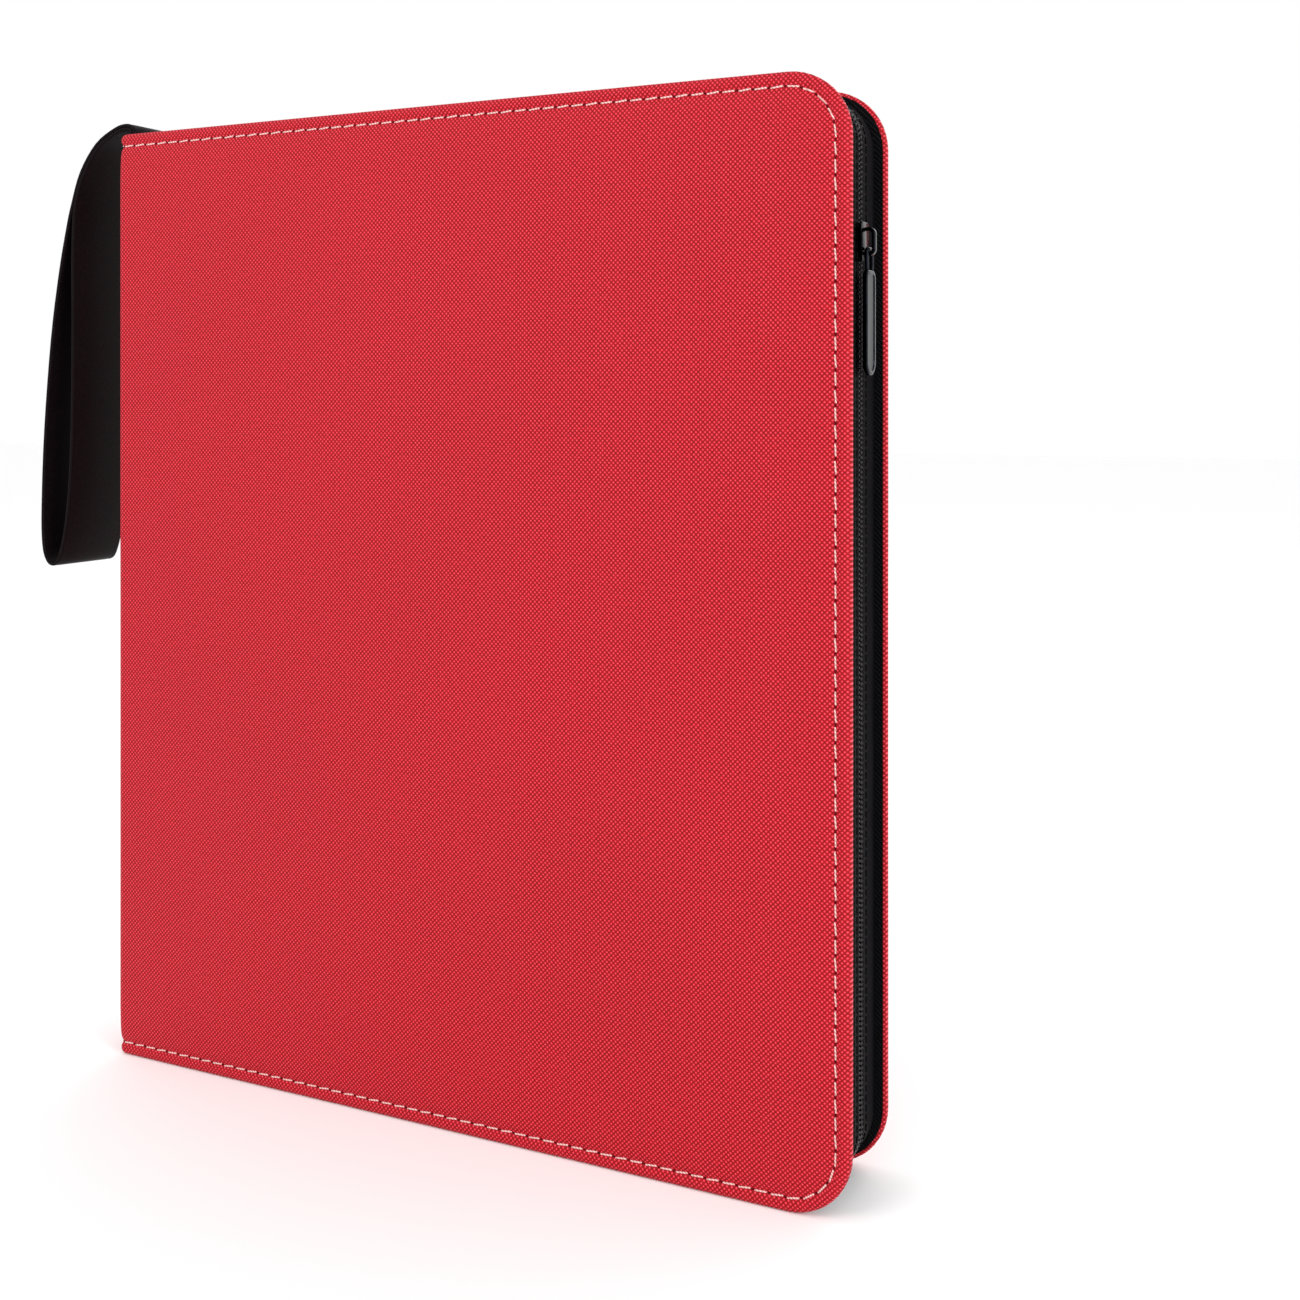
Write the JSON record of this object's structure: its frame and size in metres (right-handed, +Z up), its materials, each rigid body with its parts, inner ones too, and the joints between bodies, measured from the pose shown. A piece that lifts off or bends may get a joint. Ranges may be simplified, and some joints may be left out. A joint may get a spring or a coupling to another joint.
{
  "type": "zip-up trading card binder",
  "caption": "Padded zip-around ring binder with pocket pages for trading cards, hinged covers, a zipper round three edges and a wrist strap on the spine.",
  "frame": {"origin": "middle of the spine's bottom edge, on the surface that the shut binder stands on", "axes": "+X from the spine to the fore-edge, +Y from the front cover to the back cover, +Z up along the spine"},
  "size_m": [0.3294, 0.04, 0.3449],
  "materials": {
    "red_pu": "satin",
    "greyboard": "matte",
    "foam_pad": "matte",
    "black_lining": "matte",
    "zip_tape": "matte",
    "zip_coil": "satin",
    "black_strap": "satin",
    "chrome_plate": "polished",
    "chrome_wire": "polished",
    "gunmetal": "satin",
    "pocket_film": "gloss",
    "printed_card": "satin"
  },
  "bodies": {
    "spine": {"spine_skin": "red_pu", "spine_board": "greyboard", "spine_lining": "black_lining", "strap_anchor": "black_strap", "spine_end_gussets": "black_lining", "ring_housing": "chrome_plate", "ring_rivets": "chrome_plate", "lever_pins": "chrome_plate"},
    "strap": {"hand_strap": "black_strap"},
    "front_cover": {"front_skin": "red_pu", "front_foam": "foam_pad", "front_board": "greyboard", "front_lining": "black_lining", "front_gusset": "black_lining", "front_zip_tape": "zip_tape", "front_zip_chain": "zip_coil", "front_zip_stops": "gunmetal"},
    "back_cover": {"back_skin": "red_pu", "back_foam": "foam_pad", "back_board": "greyboard", "back_lining": "black_lining", "back_gusset": "black_lining", "back_zip_tape": "zip_tape", "back_zip_chain": "zip_coil", "back_zip_stops": "gunmetal"},
    "zip_slider": {"slider_body": "gunmetal", "slider_bail": "gunmetal"},
    "zip_pull": {"pull_link": "gunmetal", "pull_tab": "gunmetal"},
    "front_rings": {"front_blade": "chrome_plate", "front_half_rings": "chrome_wire"},
    "back_rings": {"back_blade": "chrome_plate", "back_half_rings": "chrome_wire"},
    "bottom_lever": {"bottom_lever": "chrome_plate"},
    "top_lever": {"top_lever": "chrome_plate"},
    "leaf_1": {"page_1": "pocket_film", "cards_1": "printed_card"},
    "leaf_2": {"page_2": "pocket_film", "cards_2": "printed_card"},
    "leaf_3": {"page_3": "pocket_film", "cards_3": "printed_card"},
    "leaf_4": {"page_4": "pocket_film", "cards_4": "printed_card"},
    "leaf_5": {"page_5": "pocket_film", "cards_5": "printed_card"},
    "leaf_6": {"page_6": "pocket_film", "cards_6": "printed_card"},
    "leaf_7": {"page_7": "pocket_film", "cards_7": "printed_card"},
    "leaf_8": {"page_8": "pocket_film", "cards_8": "printed_card"}
  },
  "joints": [
    {"name": "front_cover_hinge", "type": "hinge", "parent": "spine", "child": "front_cover", "pos_m": [-0.002, -0.02, 0.17], "axis": [0, 0, -1], "range_deg": [0, 90]},
    {"name": "back_cover_hinge", "type": "hinge", "parent": "spine", "child": "back_cover", "pos_m": [-0.002, 0.02, 0.17], "axis": [0, 0, 1], "range_deg": [0, 90]},
    {"name": "zip_slide", "type": "slide", "parent": "back_cover", "child": "zip_slider", "axis": [0, 0, 1], "range_m": [-0.24, 0.022]},
    {"name": "zip_pull_swing", "type": "hinge", "parent": "zip_slider", "child": "zip_pull", "pos_m": [0.28055, 0, 0.28775], "axis": [0, -1, 0], "range_deg": [0, 140]},
    {"name": "strap_swing", "type": "hinge", "parent": "spine", "child": "strap", "pos_m": [0.0001, 0, 0.341], "axis": [0, 1, 0], "range_deg": [0, 95]},
    {"name": "front_ring_hinge", "type": "hinge", "parent": "spine", "child": "front_rings", "pos_m": [0.0048, -0.011, 0.17], "axis": [0, 0, -1], "range_deg": [0, 6]},
    {"name": "back_ring_hinge", "type": "hinge", "parent": "spine", "child": "back_rings", "pos_m": [0.0048, 0.011, 0.17], "axis": [0, 0, 1], "range_deg": [0, 6]},
    {"name": "bottom_lever_pivot", "type": "hinge", "parent": "spine", "child": "bottom_lever", "pos_m": [0.0042, 0, 0.025], "axis": [0, 1, 0], "range_deg": [0, 15]},
    {"name": "top_lever_pivot", "type": "hinge", "parent": "spine", "child": "top_lever", "pos_m": [0.0042, 0, 0.315], "axis": [0, -1, 0], "range_deg": [0, 15]},
    {"name": "leaf_1_turn", "type": "hinge", "parent": "spine", "child": "leaf_1", "pos_m": [0.019, 0, 0.17], "axis": [0, 0, -1], "range_deg": [0, 90]},
    {"name": "leaf_2_turn", "type": "hinge", "parent": "spine", "child": "leaf_2", "pos_m": [0.019, 0, 0.17], "axis": [0, 0, -1], "range_deg": [0, 72]},
    {"name": "leaf_3_turn", "type": "hinge", "parent": "spine", "child": "leaf_3", "pos_m": [0.019, 0, 0.17], "axis": [0, 0, -1], "range_deg": [0, 54]},
    {"name": "leaf_4_turn", "type": "hinge", "parent": "spine", "child": "leaf_4", "pos_m": [0.019, 0, 0.17], "axis": [0, 0, -1], "range_deg": [0, 32.4]},
    {"name": "leaf_5_turn", "type": "hinge", "parent": "spine", "child": "leaf_5", "pos_m": [0.019, 0, 0.17], "axis": [0, 0, 1], "range_deg": [0, 32.4]},
    {"name": "leaf_6_turn", "type": "hinge", "parent": "spine", "child": "leaf_6", "pos_m": [0.019, 0, 0.17], "axis": [0, 0, 1], "range_deg": [0, 54]},
    {"name": "leaf_7_turn", "type": "hinge", "parent": "spine", "child": "leaf_7", "pos_m": [0.019, 0, 0.17], "axis": [0, 0, 1], "range_deg": [0, 72]},
    {"name": "leaf_8_turn", "type": "hinge", "parent": "spine", "child": "leaf_8", "pos_m": [0.019, 0, 0.17], "axis": [0, 0, 1], "range_deg": [0, 90]}
  ],
  "couplings": [
    {"joint": "back_ring_hinge", "follows": "front_ring_hinge", "ratio": 1},
    {"joint": "bottom_lever_pivot", "follows": "front_ring_hinge", "ratio": 2.5},
    {"joint": "top_lever_pivot", "follows": "front_ring_hinge", "ratio": 2.5},
    {"joint": "leaf_1_turn", "follows": "front_cover_hinge", "ratio": 1},
    {"joint": "leaf_2_turn", "follows": "front_cover_hinge", "ratio": 0.8},
    {"joint": "leaf_3_turn", "follows": "front_cover_hinge", "ratio": 0.6},
    {"joint": "leaf_4_turn", "follows": "front_cover_hinge", "ratio": 0.36},
    {"joint": "leaf_5_turn", "follows": "back_cover_hinge", "ratio": 0.36},
    {"joint": "leaf_6_turn", "follows": "back_cover_hinge", "ratio": 0.6},
    {"joint": "leaf_7_turn", "follows": "back_cover_hinge", "ratio": 0.8},
    {"joint": "leaf_8_turn", "follows": "back_cover_hinge", "ratio": 1}
  ]
}
